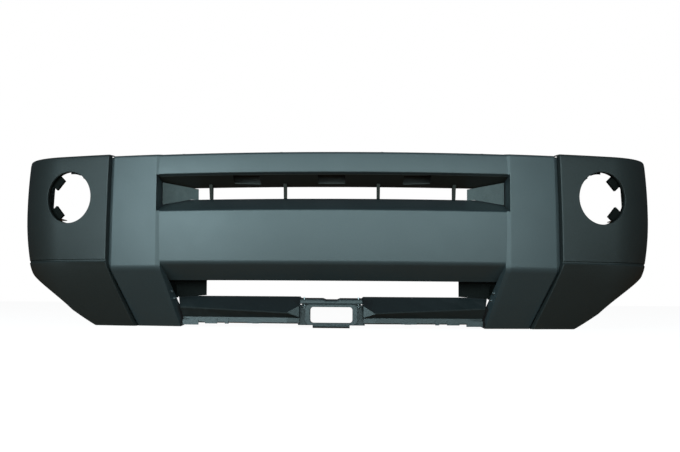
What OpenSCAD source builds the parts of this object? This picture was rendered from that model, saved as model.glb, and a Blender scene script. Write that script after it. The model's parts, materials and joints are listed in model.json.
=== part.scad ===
/* [Overall] */
// Overall width across the corner caps
overall_w = 1884; // [1550:1:2260]
// Depth from the front of the centre skin to the rear edge of the wings
wing_depth = 530; // [440:1:640]
// Plan radius of the front face
front_r = 2130; // [1750:10:2600]
// Wall thickness of the moulded skins
wall = 3; // [2.5:0.1:3.6]

/* [Heights, stacked from the ground up] */
// Height of the top edge of the lower valance
valance_h = 90; // [80:1:100]
// Height of the lower opening between the valance and the band
lower_gap = 43; // [36:1:60]
// Height of the chamfer under the centre band
band_drop = 47; // [38:1:58]
// Height of the face of the centre band
band_h = 148; // [120:1:180]
// Height of the upper slot at the front face
slot_h = 103; // [84:1:124]
// Height of the upper bar above the slot
bar_h = 57; // [46:1:70]

/* [Centre skin] */
// Width of each corner cap, seen from the front
cap_w = 301; // [290:1:340]
// Width of the shadow groove between a pillar and its corner cap
shadow_gap = 15; // [9:1:16]
// Width of each pillar at its top
pillar_w = 143; // [118:1:170]
// How far the pillars stand in front of the centre panels
pillar_proud = 4; // [3:0.5:6]
// Width of the bevel on the inner edge of each pillar
pillar_bevel = 10; // [8:1:12]
// How far the upper slot cuts into each pillar
slot_bite = 12; // [11:1:16]
// How far the floor of the upper slot rises to the rear
floor_rise = 39; // [30:1:44]
// Depth of the upper slot
slot_depth = 100; // [84:1:120]
// Depth of the chamfer under the centre band
band_depth = 75; // [62:1:90]
// Depth of the top flange of the skin
flange_d = 46; // [42:1:56]
// How far the chins run back on the way down
chin_depth = 130; // [108:1:150]
// How far the inner edge of each chin leans inwards
chin_lean_in = 43; // [36:1:52]
// How far the outer edge of each chin leans inwards
chin_lean_out = 59; // [46:1:66]

/* [Corner caps] */
// How far the corner caps stand in front of the pillars
cap_proud = 4; // [3:0.5:6]
// Height of the corner caps above the top of the centre skin
cap_rise = 6; // [4:0.5:8]
// Length of the flat part that holds the fog lamp aperture
cap_flat = 170; // [160:1:190]
// Height of the crease line of the corner caps
crease_z = 187; // [170:1:200]
// Inward curve of the cap at its top edge, at the corner
cap_crown = 9; // [6:1:14]
// How far the lower part of the corner cap tucks under
tuck = 124; // [104:1:140]
// Diameter of the fog lamp aperture
fog_d = 150; // [125:1:160]
// Height of the centre of the fog lamp aperture
fog_z = 373; // [365:1:385]
// Distance of the fog lamp centre from the inner edge of the cap
fog_u = 133; // [122:1:136]
// Depth of the collar round the fog lamp aperture
collar_d = 12; // [10:1:15]

/* [Towing eye and valance] */
// Width of the towing eye aperture
eye_w = 120; // [100:1:140]
// Height of the towing eye aperture
eye_h = 45; // [38:1:50]
// Height of the lower edge of the towing eye aperture
eye_z = 15; // [14:1:17]
// Width of the frame round the towing eye aperture
eye_frame = 13; // [11:1:15]

/* [Fixings] */
// Diameter of the holes for the push rivets in the top flange
rivet_hole_d = 8; // [7:0.1:9]
// Pitch of the push rivets along the top flange
rivet_pitch = 280; // [240:1:300]
// Travel of the pin of a push rivet
pin_travel = 8; // [6:0.5:9]
// Diameter of the holes in the side brackets
bracket_hole_d = 9; // [7.5:0.1:10.5]
// Distance between the two holes in each side bracket
bracket_pitch = 60; // [50:1:66]
// Diameter of the undertray holes in the valance
tray_hole_d = 8; // [6.6:0.1:9.6]
// Pitch of the undertray holes
tray_pitch = 220; // [180:1:230]
// Gap between pieces that lie against each other
fit_gap = 0.3; // [0.2:0.05:0.5]

/* [Hidden] */
$fn = 48;

half_w = overall_w / 2;
band_under_z = valance_h + lower_gap;
band_low_z = band_under_z + band_drop;
slot_low_z = band_low_z + band_h;
slot_top_z = slot_low_z + slot_h;
skin_top_z = slot_top_z + bar_h;
cap_top_z = skin_top_z + cap_rise;
bend_z = band_low_z - 14;
mid_y = wing_depth / 2;

cap_in = half_w - cap_w;
pillar_out = cap_in - shadow_gap;
pillar_in = pillar_out - pillar_w;
slot_half = pillar_in + slot_bite;
ledge_d = cap_proud + 12;
ledge_end = cap_in + 24;
inner_edge_d = 26;
inner_edge_low = 60;
rivet_d = flange_d - 9.5;

// Depth of the front face behind its foremost point, at a distance x from the middle
function front_y(x) = front_r - sqrt(front_r * front_r - x * x);
// Heading of the front face at x: 0 along X, 90 straight back
function front_h(x) = asin(x / front_r);

/* Sections: points are [depth behind the face, height] */
function left_normal(a, b) = [a[1] - b[1], b[0] - a[0]] / norm(b - a);
function mitred(p, i, t) =
    let (
        n1 = left_normal(p[max(i - 1, 0)], p[max(i, 1)]),
        last = len(p) - 1,
        n2 = left_normal(p[min(i, last - 1)], p[min(i + 1, last)])
    )
    p[i] + (n1 + n2) * t / (1 + n1 * n2);
function offset_path(p, t) = [for (i = [0:len(p) - 1]) mitred(p, i, t)];
function reversed(p) = [for (i = [len(p) - 1:-1:0]) p[i]];
function walled(p, t) = concat(p, reversed(offset_path(p, t)));
// Corner b of the path a, b, c with a round of n steps that starts r before the corner
function rounded(a, b, c, r, n = 4) =
    let (
        s = b + (a - b) * r / norm(a - b),
        e = b + (c - b) * r / norm(c - b)
    )
    [for (i = [0:n]) let (t = i / n) s * (1 - t) * (1 - t) + b * 2 * t * (1 - t) + e * t * t];

module swept(section, x) {
    half_angle = front_h(x);
    translate([0, front_r, 0])
        rotate([0, 0, -90 - half_angle])
            rotate_extrude(angle = 2 * half_angle, $fn = 300)
                polygon([for (p = section) [front_r - p[0], p[1]]]);
}
module both_sides() {
    children();
    mirror([1, 0, 0])
        children();
}
// A place on the front face at x, turned so that -Y points out of the face
module on_face(x, z, side = 1) {
    translate([side * x, front_y(x), z])
        rotate([0, 0, side * front_h(x)])
            children();
}
module placed() {
    translate([0, -mid_y, 0])
        children();
}

/* Centre skin */
bar_top = [3, skin_top_z];
bar_low = [0, slot_top_z];
bar_lip = [16, slot_top_z - 4];
bar_path = concat(
    [[flange_d, skin_top_z]],
    rounded([flange_d, skin_top_z], bar_top, bar_low, 9),
    rounded(bar_top, bar_low, bar_lip, 4, 3),
    [bar_lip, bar_lip + [0, 14]]
);
floor_rear = [slot_depth, slot_low_z + floor_rise];
band_top = [0, slot_low_z];
band_low = [3, band_low_z];
band_under = [band_depth, band_under_z];
band_path = concat(
    [floor_rear + [14, 0], floor_rear],
    rounded(floor_rear, band_top, band_low, 5, 3),
    rounded(band_top, band_low, band_under, 14, 5),
    [band_under, band_under + [20, 6]]
);
belly_z = 0.55 * skin_top_z + 0.45 * bend_z;
function pillar_face(proud) = [
    [3 - proud, skin_top_z + 0.6],
    [-proud, belly_z],
    [2 - proud, bend_z],
    [chin_depth, 0]
];
// Depth of the front of the ledge beside a pillar at a height
function ledge_at(z) =
    ledge_d
    + lookup(z, [[0, chin_depth], [bend_z, 2 - pillar_proud], [belly_z, -pillar_proud], [skin_top_z, 3 - pillar_proud]]);
function pillar_path(proud) =
    let (f = pillar_face(proud))
    concat(
        [[flange_d, f[0][1]]],
        rounded([flange_d, f[0][1]], f[0], f[1], 9),
        [f[1]],
        rounded(f[1], f[2], f[3], 16, 5),
        [f[3], f[3] + [26, 5]]
    );

// A point of the skin at x, at q = [depth, height]; the chins lean inwards below the bend
function chin_lean(x) =
    chin_lean_in + (chin_lean_out - chin_lean_in) * (x - pillar_in) / (pillar_out - pillar_in)
    - chin_depth * sin(front_h(x));
function skin_point(x, q, lean = 0) =
    let (h = front_h(x))
    [
        x - q[0] * sin(h) - lean * max(0, bend_z - q[1]) / bend_z,
        front_y(x) + q[0] * cos(h),
        q[1]
    ];
// A bar of constant section across the front, out to x on both sides
module skin_bar(path, x, steps = 18) {
    loft([
        for (i = [-steps / 2:steps / 2])
            [for (q = walled(path, wall)) skin_point(x * 2 * i / steps, q)]
    ]);
}
// One section of a pillar: front of the wall at depth a, back of the wall set back by a further b
function pillar_place(x, q, d, top) =
    let (
        deep = q[0] + d,
        on_flange = q[1] > skin_top_z - 8,
        k = (x - pillar_in) / (pillar_out - pillar_in),
        down = min(1, max(0, skin_top_z - q[1]) / (skin_top_z - bend_z))
    )
    skin_point(x, [on_flange ? min(deep, flange_d) : deep, min(q[1], top)], chin_lean(x))
    + pillar_slant * k * down * [1, tan(front_h(x)), 0];
// Its back is b behind the wall above the bend, and low behind it below
function pillar_loop(x, proud, a, b, low) =
    let (
        path = pillar_path(proud),
        top = a > 0 ? ledge_top : skin_top_z + 1
    )
    concat(
        [for (q = path) pillar_place(x, q, a, top)],
        reversed([
            for (q = offset_path(path, wall))
                pillar_place(x, q, a + (q[1] < bend_z - 12 ? low : b), top - wall)
        ])
    );
pillar_slant = 5;
ledge_top = skin_top_z - 4;
bevel_in = -1;
module pillar() {
    bevel_end = pillar_in + pillar_bevel + 2;
    step = 0.2;
    loft([
        pillar_loop(pillar_in, bevel_in, 0, inner_edge_d, inner_edge_low),
        pillar_loop(pillar_in + wall, bevel_in + wall * 0.42, 0, inner_edge_d, inner_edge_low),
        pillar_loop(pillar_in + wall + step, bevel_in + wall * 0.44, 0, 0, 0),
        pillar_loop(bevel_end, pillar_proud, 0, 0, 0),
        pillar_loop(bevel_end + 40, pillar_proud, 0, 0, 0),
        pillar_loop(bevel_end + 85, pillar_proud, 0, 0, 0),
        pillar_loop(pillar_out - wall - step, pillar_proud, 0, 0, 0),
        pillar_loop(pillar_out - wall, pillar_proud, 0, ledge_d, ledge_d),
        pillar_loop(pillar_out, pillar_proud, 0, ledge_d, ledge_d),
        pillar_loop(pillar_out + step, pillar_proud, ledge_d, 0, 0),
        pillar_loop(ledge_end, pillar_proud, ledge_d, 0, 0)
    ]);
}
// The side wall of the upper slot
module slot_wall() {
    translate([slot_half, front_y(slot_half) - 2.5, slot_low_z - 6])
        rotate([0, 0, slot_wall_angle])
            cube([wall, slot_depth + 10, slot_h + 14]);
}
module slot_opening() {
    translate([0, -100, slot_low_z])
        cube([slot_half, 300, slot_h]);
}
module ledge_holes(d) {
    for (z = cap_screw_heights)
        on_face(cap_screw_x, z)
            rotate([-90, 0, 0])
                cylinder(h = 40, d = d);
}
cap_screw_x = cap_in + 13;
cap_screw_heights = [skin_top_z - 34, 0.5 * (skin_top_z + bend_z), bend_z + 40];

module centre_skin() {
    color("#66777d")
        placed()
            difference() {
                union() {
                    skin_bar(bar_path, slot_half + 1.5);
                    skin_bar(band_path, slot_half + 1.5);
                    both_sides()
                        difference() {
                            pillar();
                            slot_opening();
                        }
                    both_sides()
                        slot_wall();
                }
                rivet_positions()
                    cylinder(h = 40, d = rivet_hole_d, center = true);
                both_sides()
                    ledge_holes(5.5);
                both_sides()
                    cheek_screw_places()
                        cylinder(h = 12, r = screw_r + 0.3, center = true);
            }
}
module rivet_positions() {
    for (i = [-1.5:1:1.5])
        translate([i * rivet_pitch, front_y(i * rivet_pitch) + rivet_d, skin_top_z])
            children();
}

/* Corner caps: stations u run along the plan curve from the inner edge to the wheel arch */
cap_start_h = front_h(cap_in);
cap_start_y = front_y(cap_in) - pillar_proud - cap_proud;
flat_turn = 2;
flat_k = flat_turn / cap_flat;
function arc_end(start, k, len) =
    let (
        h = start[2] + k * len,
        r = 180 / (PI * k)
    )
    [start[0] + r * (sin(h) - sin(start[2])), start[1] - r * (cos(h) - cos(start[2])), h];
cap_start = [cap_in, cap_start_y, cap_start_h];
flat_end = arc_end(cap_start, flat_k, cap_flat);
wing_h = 90;
corner_r = (half_w - flat_end[0]) / (sin(wing_h) - sin(flat_end[2]));
corner_k = 180 / (PI * corner_r);
corner_l = (wing_h - flat_end[2]) / corner_k;
corner_end = arc_end(flat_end, corner_k, corner_l);
wing_l = (wing_depth - corner_end[1]) / sin(wing_h);
// Place and heading [x, y, heading] on the plan curve
function plan(u) =
    u < cap_flat ? arc_end(cap_start, flat_k, u)
    : u < cap_flat + corner_l ? arc_end(flat_end, corner_k, u - cap_flat)
    : let (w = u - cap_flat - corner_l)
        [corner_end[0] + w * cos(wing_h), corner_end[1] + w * sin(wing_h), wing_h];
function smooth(t) = let (c = max(0, min(1, t))) c * c * (3 - 2 * c);

widest_z = 324;
step_h = 3;
tuck_power = 1.15;
edge_start_x = 748;
edge_slope = 0.86;
// Height of the lower edge of a corner cap at a station
function cap_edge_z(u) =
    min(crease_z - 24, max(0, (plan(u)[0] - (half_w - 940) - edge_start_x) * edge_slope));
// Setback of the face from the plan curve at a height
function crown_at(u, z) =
    let (
        k = smooth(u / (cap_flat + 0.7 * corner_l)),
        high = 3 + (cap_crown - 3) * k,
        low = 2 + (1.35 * cap_crown - 2) * k
    )
    z > widest_z ? high * pow((z - widest_z) / (cap_top_z - widest_z), 2)
    : low * pow((widest_z - max(z, crease_z)) / (widest_z - crease_z), 2);
function tuck_at(u, z) =
    let (
        power = tuck_power + 0.3 * smooth(u / (cap_flat + 0.5 * corner_l)),
        step = step_h * (1 - smooth((u - cap_flat - 0.5 * corner_l) / (0.4 * corner_l)))
    )
    crown_at(u, crease_z) - step + tuck * pow((crease_z - z) / crease_z, power);
// The section of a cap at a station, as [setback, height], with the face moved in by t
upper_rows = 8;
lower_rows = 6;
function cap_section(u, t) =
    let (
        edge = cap_edge_z(u),
        top = cap_top_z - min(t, cap_top_z - ledge_top - 3),
        c = crown_at(u, cap_top_z),
        low_t = t > wall ? t : 1.25 * t
    )
    concat(
        [[c + max(cap_flange, 8 + t), top], [c + 7 + t, top]],
        [rim_limit([c + 2 + t, top - 2], u), rim_limit([c + t, top - 7], u)],
        [for (i = [1:upper_rows])
            let (z = (top - 7) + (crease_z + 3 - top + 7) * i / upper_rows)
            rim_limit([crown_at(u, z) + t, z], u)],
        [for (i = [0:lower_rows])
            let (z = crease_z - 2 + (edge - crease_z + 2) * i / lower_rows)
            rim_limit([tuck_at(u, z) + low_t, z], u)]
    );
// A point of the inner edge strip is kept in front of the ledge of the skin
function rim_limit(q, u) =
    u > edge_strip ? q
    : [min(q[0], ledge_at(q[1]) + cap_proud + pillar_proud - (q[1] < bend_z ? 5 : 2 * fit_gap)), q[1]];
cap_flange = 34;
lean_reach = 150;
// A point of the cap: the inner edge leans inwards below the crease
function cap_point(u, q) =
    let (
        low = max(0, crease_z - q[1]) / crease_z,
        down = min(1, (cap_top_z - q[1]) / (cap_top_z - crease_z)),
        lean = (cap_lean * low - cap_slant * down) * (1 - smooth(u / lean_reach)),
        p = plan(u)
    )
    [
        p[0] - q[0] * sin(p[2]) - lean,
        p[1] + q[0] * cos(p[2]) - lean * tan(cap_start_h),
        q[1]
    ];
cap_lean = 30;
cap_slant = 6;
function cap_stations() = concat(
    [for (i = [0:7]) cap_flat * i / 8],
    [for (i = [0:11]) cap_flat + corner_l * i / 12],
    [for (i = [0:4]) cap_flat + corner_l + wing_l * i / 4]
);
// A closed solid through loops of points. Each loop runs along its outer side and back along its
// inner side, with as many points on each, and the two ends close as strips between those sides.
module loft(loops) {
    n = len(loops[0]);
    m = len(loops);
    shift = (m - 1) * n;
    sides = [
        for (j = [0:m - 2])
            for (i = [0:n - 1])
                let (
                    a = j * n + i,
                    b = j * n + (i + 1) % n,
                    c = b + n,
                    d = a + n
                )
                for (t = [[a, c, b], [a, d, c]]) t
    ];
    ends = [
        for (i = [0:n / 2 - 2])
            let (
                a = i,
                b = i + 1,
                c = n - 2 - i,
                d = n - 1 - i
            )
            for (t = [[a, b, c], [a, c, d], [a, c, b] + [1, 1, 1] * shift, [a, d, c] + [1, 1, 1] * shift]) t
    ];
    polyhedron(points = [for (l = loops) for (p = l) p], faces = concat(sides, ends));
}
// The edge strips at both ends of a cap are deeper than its wall
edge_strip = 3;
rim_d = cap_proud + ledge_d;
arch_rim_d = 20;
function cap_loop(u, a, b) = concat(
    [for (q = cap_section(u, a)) cap_point(u, q)],
    reversed([for (q = cap_section(u, b)) cap_point(u, q)])
);
cap_length = cap_flat + corner_l + wing_l;
module cap_shell() {
    inner = cap_stations();
    loft(concat(
        [cap_loop(0, 0, rim_d), cap_loop(edge_strip, 0, rim_d), cap_loop(edge_strip + 0.2, 0, wall)],
        [for (i = [1:len(inner) - 2]) cap_loop(inner[i], 0, wall)],
        [
            cap_loop(cap_length - edge_strip - 0.2, 0, wall),
            cap_loop(cap_length - edge_strip, 0, arch_rim_d),
            cap_loop(cap_length, 0, arch_rim_d)
        ]
    ));
}
fog_place = plan(fog_u);
fog_r = fog_d / 2;
// The fog lamp axis along +Z, pointing out of the cap, with +X outboard and +Y up
module at_fog() {
    translate([fog_place[0], fog_place[1] + crown_at(fog_u, fog_z), fog_z])
        rotate([0, 0, fog_place[2]])
            rotate([90, 0, 0])
                children();
}
module fog_screw_places() {
    for (a = fog_screw_angles)
        rotate([0, 0, a])
            translate([fog_screw_r, 0, 0])
                children();
}
fog_screw_angles = [90, 210, 330];
fog_screw_r = fog_r + 22;
fog_plate_z = -(collar_d + 4);
fog_plate_t = 3.5;
boss_r = 6;
screw_r = 2;
// How far a place on the cap lies behind the fog lamp plane, dx outboard and dz up from the lamp axis
function behind_fog(dx, dz) =
    let (
        u = fog_u + dx,
        p = cap_point(u, [crown_at(u, fog_z + dz), fog_z + dz]),
        n = [-sin(fog_place[2]), cos(fog_place[2])]
    )
    (p[0] - fog_place[0]) * n[0] + (p[1] - fog_place[1] - crown_at(fog_u, fog_z)) * n[1];
module fog_bosses() {
    for (a = fog_screw_angles) {
        x = fog_screw_r * cos(a);
        z = fog_screw_r * sin(a);
        start = behind_fog(x, z) + 2;
        at_fog()
            translate([x, z, -start])
                mirror([0, 0, 1])
                    cylinder(h = -fog_plate_z - start, r = boss_r);
    }
}
module cap_bosses() {
    fog_bosses();
    for (z = cap_screw_heights)
        on_face(cap_screw_x, z)
            translate([0, -cap_proud - 2, 0])
                rotate([-90, 0, 0])
                    cylinder(h = ledge_at(z) - 0.5 + cap_proud + 2, r = boss_r);
    side_boss_places()
        rotate([0, -90, 0])
            cylinder(h = side_gap - 1.5, r = boss_r);
}
side_gap = 30;
side_z = 300;
module side_boss_places() {
    for (i = [0, 1])
        translate([half_w - 1.5, wing_depth - 46 - i * bracket_pitch, side_z])
            children();
}
module cap_cuts() {
    at_fog()
        union() {
            translate([0, 0, -40])
                cylinder(h = 80, r = fog_r, $fn = 96);
            translate([-8, fog_r - 2, -30])
                cube([16, 7, 60]);
            fog_screw_places()
                translate([0, 0, fog_plate_z - 1])
                    cylinder(h = collar_d - 5, r = screw_r + 0.2);
        }
    for (z = cap_screw_heights)
        on_face(cap_screw_x, z)
            rotate([-90, 0, 0])
                cylinder(h = 40, r = screw_r + 0.2);
    side_boss_places()
        translate([-side_gap - 1, 0, 0])
            rotate([0, 90, 0])
                cylinder(h = 22, r = screw_r + 0.2);
}
module corner_cap() {
    color("#3f4a4d")
        difference() {
            union() {
                cap_shell();
                cap_bosses();
            }
            cap_cuts();
        }
}
module corner_cap_right() {
    placed()
        corner_cap();
}
module corner_cap_left() {
    mirror([1, 0, 0])
        corner_cap_right();
}

/* Upper slot insert: a sloping ceiling with windows, upstands and four ribs */
baffle_out = [slot_half - 9, front_y(slot_half) + 50];
baffle_in = [slot_half - 109, front_y(slot_half - 109) + slot_depth + 8];
baffle_t = 2.5;
slot_front_d = bar_lip[0] + fit_gap;
ceiling_front = [slot_front_d, slot_top_z - 4.5];
ceiling_rear = [slot_depth + 10, slot_top_z - 30];
window_w = 76;
window_pitch = 239;
window_d = 62;
rib_t = 9;
rib_out_x = baffle_in[0] - 39;
rib_in_x = 0.38 * rib_out_x;
module slot_insert_ribs() {
    for (x = [-rib_out_x, -rib_in_x, rib_in_x, rib_out_x])
        translate([x, front_y(x), 0])
            rotate([90, 0, 90])
                translate([0, 0, -rib_t / 2])
                    linear_extrude(rib_t)
                        polygon([
                            [slot_depth - 4, floor_rear[1] + fit_gap],
                            [slot_depth + 12, floor_rear[1] + fit_gap],
                            [slot_depth + 12, ceiling_rear[1] + 1.5],
                            [slot_depth - 20, ceiling_rear[1] + 7]
                        ]);
}
module upper_slot_insert() {
    inset = slot_half - fit_gap - 0.6;
    color("#262b2b")
        placed()
            union() {
                intersection() {
                    difference() {
                        swept(
                            walled([
                                ceiling_front + [0, 18],
                                ceiling_front,
                                ceiling_rear,
                                ceiling_rear + [2, 42]
                            ], 2.5),
                            slot_half + 12
                        );
                        for (i = [-1, 0, 1])
                            translate([i * window_pitch, front_y(i * window_pitch) + 22, slot_top_z - 60])
                                translate([-window_w / 2, 0, 0])
                                    cube([window_w, window_d, 80]);
                        both_sides()
                            translate([pillar_in - 12, 0, slot_top_z - 0.5])
                                cube([40, front_y(slot_half) + 60, 40]);
                    }
                    linear_extrude(skin_top_z)
                        polygon([
                            [-inset, front_y(slot_half)],
                            [-inset + slot_taper, front_y(slot_half) + slot_depth + 40],
                            [-inset + slot_taper, slot_depth + 160],
                            [inset - slot_taper, slot_depth + 160],
                            [inset - slot_taper, front_y(slot_half) + slot_depth + 40],
                            [inset, front_y(slot_half)],
                            [inset, -10],
                            [-inset, -10]
                        ]);
                }
                slot_insert_ribs();
            }
}
slot_wall_angle = 6;
slot_taper = (slot_depth + 40) * tan(slot_wall_angle);

/* Clips that hold the front upstand of the insert on the lip of the bar */
module insert_clips() {
    color("#9aa0a3")
        placed()
            for (x = [-360, -120, 120, 360] * slot_half / 495)
                on_face(x, slot_top_z + 3)
                    clip_shape();
}
// A spring clip over the lip of the bar and the upstand of the insert
module clip_shape() {
    t = 1;
    front = bar_lip[0] - wall - fit_gap - t;
    back = bar_lip[0] + 2.5 + 3 * fit_gap;
    translate([-9, 0, 0])
        rotate([90, 0, 90])
            linear_extrude(18)
                polygon([
                    [front, 0],
                    [front + t, 0],
                    [front + t, 12],
                    [back, 12],
                    [back, 0],
                    [back + t, 0],
                    [back + t, 12 + t],
                    [front, 12 + t]
                ]);
}

/* Air baffles: plates that run inwards from the slot walls */
module air_baffle() {
    run = baffle_in - baffle_out;
    l = norm(run);
    drop = (ceiling_front[1] - ceiling_rear[1]) / (ceiling_rear[0] - ceiling_front[0]);
    top_out = ceiling_front[1] - 2.6 - fit_gap - drop * (52 - ceiling_front[0]);
    color("#7d8a8a")
        translate([baffle_out[0], baffle_out[1], 0])
            rotate([0, 0, atan2(run[1], run[0])])
                union() {
                    rotate([90, 0, 0])
                        linear_extrude(baffle_t)
                            polygon([
                                [0, slot_low_z + 0.54 * floor_rise + 3 * fit_gap],
                                [0.8 * l, floor_rear[1] + fit_gap],
                                [l, floor_rear[1] + fit_gap],
                                [l, ceiling_rear[1] - 2.6 - fit_gap],
                                [0, top_out]
                            ]);
                    translate([l - baffle_t, -12, floor_rear[1] + fit_gap])
                        cube([baffle_t, 12, ceiling_rear[1] - 2.6 - floor_rear[1] - 2 * fit_gap]);
                }
}
module air_baffle_right() {
    placed()
        air_baffle();
}
module air_baffle_left() {
    mirror([1, 0, 0])
        air_baffle_right();
}

/* Lower valance */
// Inner edge of a chin at a height
function chin_x(z) =
    pillar_in - chin_lean_in * max(0, bend_z - z) / bend_z
    - (inner_edge_low + wall + 3) * sin(front_h(pillar_in));
valance_rear_y = 192;
eye_half = eye_w / 2 + eye_frame;
recess_x = eye_half + 14;
gusset_x = recess_x + 4;
ridge_in_x = gusset_x + 33;
ridge_out_x = pillar_in - 45;
ridge_in = [90, 43];
ridge_out = [155, 57.5];
function ridge(x) = ridge_in + (ridge_out - ridge_in) * (x - ridge_in_x) / (ridge_out_x - ridge_in_x);
// Path of the valance at x as [y, z], from the rear edge round the ridge to the lower lip
function valance_path(x) =
    x >= ridge_in_x ?
        let (r = ridge(x))
        [
            [valance_rear_y, valance_h],
            r + [0, 1.5],
            r + [1, -2],
            [r[0] + 22, 29],
            [r[0] + 22, 15],
            [r[0] + 38, 12]
        ]
    : x >= gusset_x ?
        let (
            k = (ridge_in_x - x) / (ridge_in_x - gusset_x),
            y = ridge_in[0] + 10 * k
        )
        [
            [valance_rear_y, valance_h],
            [y, ridge_in[1] + 1.5 + 18 * k],
            [y + 1, ridge_in[1] - 2 - 10 * k],
            [y + 22 - 6 * k, 29 - k],
            [y + 22 - 6 * k, 15],
            [y + 38 - 6 * k, 12]
        ]
    : [
        [valance_rear_y, valance_h - 4 - (x < 20 ? 3.5 : 0)],
        [104, shelf_z + 6 - (x < 20 ? 3.5 : 0)],
        [103, shelf_z + 2.5 - (x < 20 ? 3.5 : 0)],
        [103, shelf_z - 1.5],
        [103, shelf_z - 4],
        [103.4, shelf_z - 6.5]
    ];
shelf_z = eye_z + eye_h + eye_frame + 2;
function valance_loop(x, side) = [
    for (q = walled(valance_path(abs(x)), wall))
        [side * min(abs(x), chin_x(q[1]) - 2 * fit_gap), q[0], q[1]]
];
valance_stations = [
    ridge_out_x + 40, ridge_out_x, ridge_out_x - 50, ridge_out_x - 140, ridge_out_x - 230,
    ridge_in_x, gusset_x, recess_x, recess_x - 20, 24, 16, 0
];
module lower_valance() {
    last = len(valance_stations) - 1;
    color("#4a5659")
        placed()
            difference() {
                union() {
                    loft(concat(
                        [for (i = [0:last]) valance_loop(valance_stations[i], -1)],
                        [for (i = [last - 1:-1:0]) valance_loop(valance_stations[i], 1)]
                    ));
                    both_sides()
                        valance_tabs();
                    tray_flange();
                }
                tray_holes();
                ear_places()
                    cylinder(h = 60, r = screw_r + 0.4, center = true);
            }
}
// Short tabs that hang below the lip
module valance_tabs() {
    for (t = [[ridge_out_x - 52, 48, 6], [ridge_out_x - 108, 36, 10], [ridge_out_x - 142, 11, 10]])
        translate([t[0], ridge(t[0])[0] + 20.5, t[2]])
            rotate([0, 0, atan((ridge_out[0] - ridge_in[0]) / (ridge_out_x - ridge_in_x))])
                cube([t[1], wall, 15]);
}
tray_y = 176;
module tray_flange() {
    both_sides()
        translate([tray_x - 22, tray_y - 44, 12])
            cube([44, 58, wall]);
}
tray_x = 1.5 * tray_pitch - 110;
module tray_holes() {
    both_sides()
        translate([tray_x, tray_y, 0])
            cylinder(h = 30, d = tray_hole_d);
}

/* Towing eye surround: a rounded tube with a rim, two ears and a rolled lip below */
eye_r = 9;
eye_front_y = 88;
eye_depth = 58;
module rounded_rect(w, h, r) {
    union() {
        translate([-w / 2 + r, -h / 2])
            square([w - 2 * r, h]);
        translate([-w / 2, -h / 2 + r])
            square([w, h - 2 * r]);
        for (x = [-1, 1], z = [-1, 1])
            translate([x * (w / 2 - r), z * (h / 2 - r)])
                circle(r = r);
    }
}
module eye_tube(w, h, r, front, depth) {
    translate([0, front + depth, eye_z + eye_h / 2])
        rotate([90, 0, 0])
            linear_extrude(depth)
                rounded_rect(w, h, r);
}
lip_r = 6;
lip_half = eye_w / 2 - 8;
ear_y = 128;
module tow_eye_surround() {
    frame_h = eye_h + eye_frame - 1;
    color("#3c4649")
        placed()
            difference() {
                union() {
                    translate([0, 0, 1])
                        eye_tube(2 * eye_half, frame_h, eye_r + 4, eye_front_y, 7);
                    eye_tube(eye_w + 8, eye_h + 7, eye_r + 3, eye_front_y + 3, eye_depth);
                    translate([-lip_half, eye_front_y + lip_r + 1, lip_r + 1])
                        rotate([0, 90, 0])
                            cylinder(h = 2 * lip_half, r = lip_r);
                    translate([-lip_half, eye_front_y + lip_r + 1, 1])
                        cube([2 * lip_half, 34, 3]);
                    translate([-lip_half, eye_front_y + lip_r + 32, 1])
                        cube([2 * lip_half, 3, eye_z - 3]);
                    translate([3 - recess_x, ear_y + 5, eye_z - 7])
                        cube([2 * recess_x - 6, wall, shelf_z + 3 - eye_z]);
                    translate([-recess_x - 8, ear_y + 5, eye_z - 7])
                        cube([2 * recess_x + 16, wall, shelf_z - 2 - eye_z]);
                    both_sides()
                        translate([eye_w / 2, ear_y - 9, ear_low])
                            cube([recess_x - 4 - eye_w / 2, 18, ear_top - ear_low]);
                }
                eye_tube(eye_w, eye_h, eye_r, eye_front_y - 10, eye_depth + 40);
                ear_places()
                    cylinder(h = 60, r = screw_r + 0.4, center = true);
            }
}
ear_top = eye_z + eye_h + 3;
ear_low = ear_top - 4;
ear_x = eye_half + 4;
module ear_places() {
    both_sides()
        translate([ear_x, ear_y, ear_top])
            children();
}

/* Lower cheeks: plates that close the ends of the lower opening, each with a tab on the chin */
cheek_out = [chin_x(95) + 8.5, front_y(pillar_in) + 127];
cheek_in = [ridge_out_x - 72, valance_rear_y - 2];
cheek_t = 2.5;
cheek_top = band_under_z + 7;
cheek_run = cheek_in - cheek_out;
cheek_l = norm(cheek_run);
cheek_screw_r = 4.6;
cheek_screw_heights = [102, 82];
chin_tilt = atan((chin_lean_in - chin_depth * sin(front_h(pillar_in))) / bend_z);
// Outer edge of a cheek beside the chin at a height, as [distance along the plate, height]
function cheek_edge(z) = [(cheek_out[0] - chin_x(z)) * 1.02 - 1, z];
// How far the plate reaches outboard, behind the chin
cheek_reach = -24;
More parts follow.
